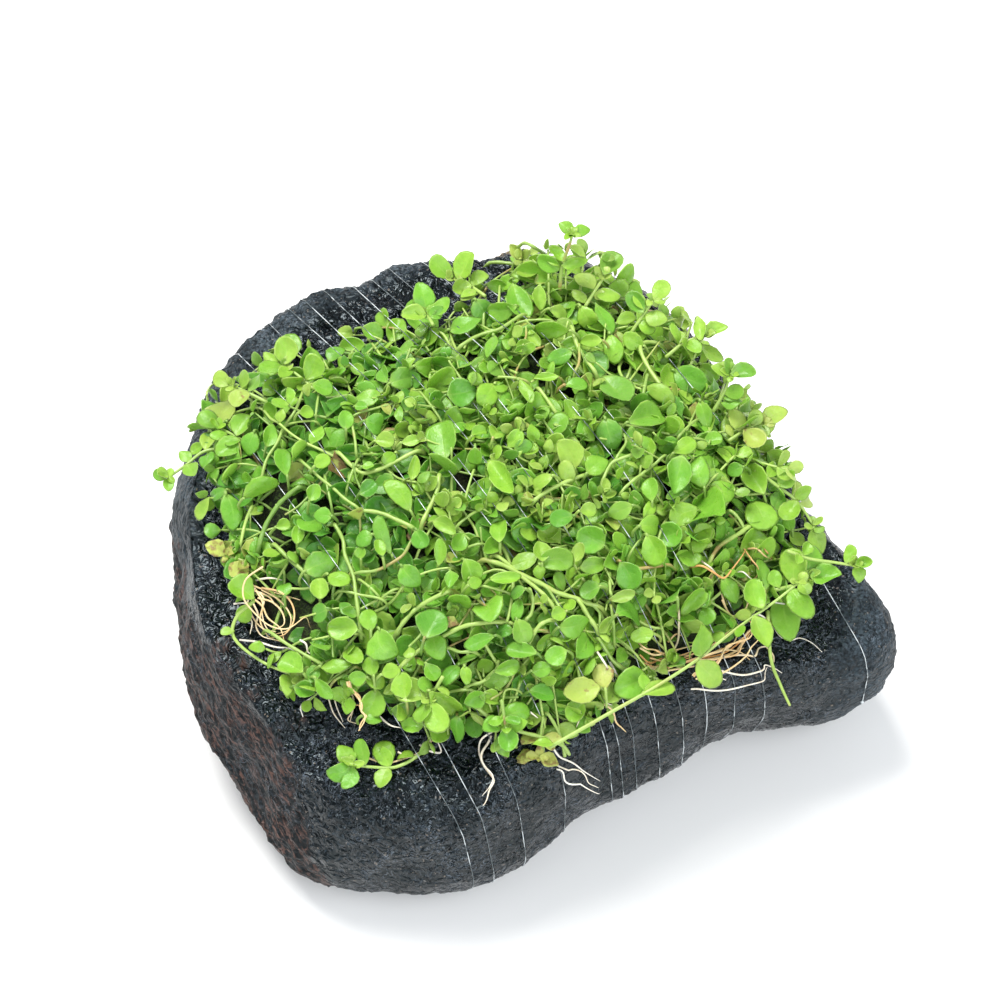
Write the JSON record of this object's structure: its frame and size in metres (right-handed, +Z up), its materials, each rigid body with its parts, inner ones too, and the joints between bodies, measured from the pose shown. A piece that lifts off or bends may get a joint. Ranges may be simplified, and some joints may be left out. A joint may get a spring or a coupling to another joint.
{
  "type": "pearl grass on lava rock",
  "caption": "Flat-topped dark lava rock with a cushion of small-leaved pearl grass tied on its top by a thin clear nylon line.",
  "frame": {"origin": "under the middle of the whole object's box, at the height of the surface that it stands on", "axes": "+X to the right and +Y to the back as the picture shows it, +Z up; X is the longest extent and Z the shortest"},
  "size_m": [0.1305, 0.1207, 0.0572],
  "materials": {
    "lava_rock": "gloss",
    "pearl_grass": "satin",
    "young_shoots": "satin",
    "nylon": "gloss",
    "roots": "matte"
  },
  "bodies": {
    "root": {"lava_rock": "lava_rock", "nylon_line": "nylon", "pearl_grass_mat": "pearl_grass", "root_front_orange": "roots", "root_front_right": "roots", "root_front_white": "roots", "roots_left_loop": "roots", "roots_right_lower": "roots", "roots_right_upper": "roots", "runner_front_left": "young_shoots", "runner_front_right": "young_shoots", "runner_left_loop": "young_shoots", "shoot_back_broad": "young_shoots", "shoot_back_left_clump": "young_shoots", "shoot_back_long": "young_shoots", "shoot_back_middle": "young_shoots", "shoot_back_right_upright": "young_shoots", "shoot_back_right_yellow": "young_shoots", "shoot_back_single": "young_shoots", "shoot_back_tall": "young_shoots", "shoot_far_left": "young_shoots", "shoot_front_pale": "young_shoots", "shoot_front_small": "young_shoots", "shoot_front_yellow": "young_shoots", "shoot_left_middle": "young_shoots", "shoot_left_upper": "young_shoots", "shoot_right_edge": "young_shoots", "shoot_right_low": "young_shoots", "shoot_right_thin": "young_shoots", "shoot_right_three_leaf": "young_shoots", "shoot_right_upper": "young_shoots", "shoot_torn_left": "young_shoots", "stem_right_bare": "young_shoots"}
  },
  "joints": []
}
